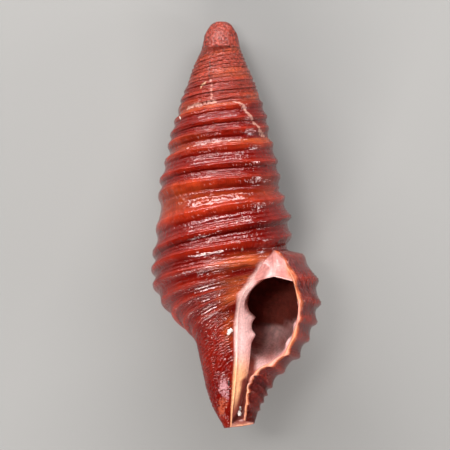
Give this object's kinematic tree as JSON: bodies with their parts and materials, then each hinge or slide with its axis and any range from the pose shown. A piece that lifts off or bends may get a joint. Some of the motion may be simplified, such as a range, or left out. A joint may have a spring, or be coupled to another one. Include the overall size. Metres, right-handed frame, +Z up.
{
  "type": "dolicholatirid shell",
  "caption": "Small red spindle-shaped sea snail shell with spiral cords, open mouth, folded pillar and short canal, lying on its back.",
  "frame": {"origin": "centre of the shell's bounding box in X and Y, on the plane it rests on", "axes": "+Z up out of the shell's mouth, +Y towards the tip of the spire, +X towards the outer lip"},
  "size_m": [0.0058, 0.0138, 0.005],
  "materials": {
    "shell": "gloss"
  },
  "bodies": {
    "root": {"shell": "shell"}
  },
  "joints": []
}
